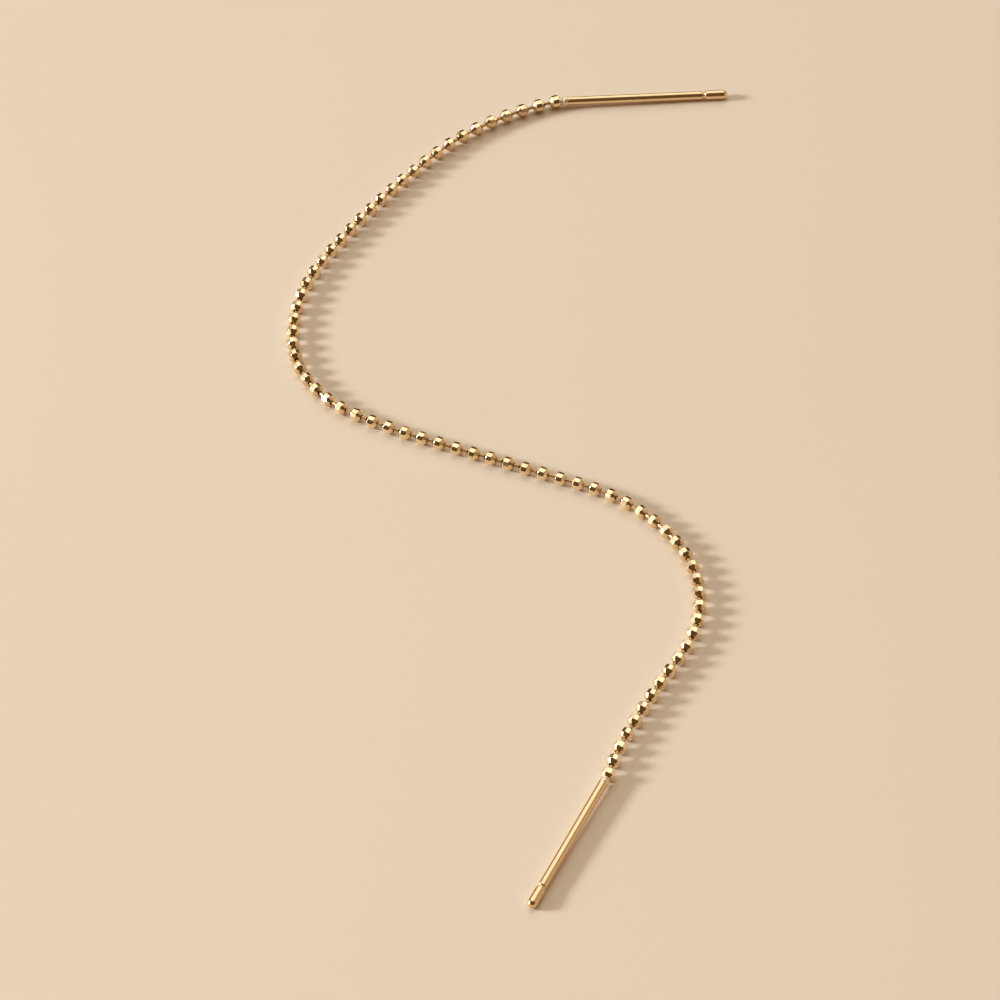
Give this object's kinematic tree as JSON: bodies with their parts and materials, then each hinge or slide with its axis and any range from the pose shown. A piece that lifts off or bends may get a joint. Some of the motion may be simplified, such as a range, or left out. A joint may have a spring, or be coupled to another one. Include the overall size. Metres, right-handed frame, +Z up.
{
  "type": "threader earring",
  "caption": "Threader earring: a fine chain of faceted gold beads that ends in a straight ear post at each end, lying on a table in a loose S.",
  "frame": {"origin": "on the table, under the middle of the box round the whole lying earring", "axes": "+X to the viewer's right, +Y away from the viewer along the length of the S, +Z up from the table"},
  "size_m": [0.0408, 0.103, 0.0012],
  "materials": {
    "post_gold": "smooth polished gold plating",
    "bead_gold": "faceted, bright-cut polished gold plating",
    "link_gold": "drawn wire with thin gold plating"
  },
  "bodies": {
    "root": {"upper_post": "post_gold", "beads": "bead_gold", "links": "link_gold", "lower_post": "post_gold"}
  },
  "joints": []
}
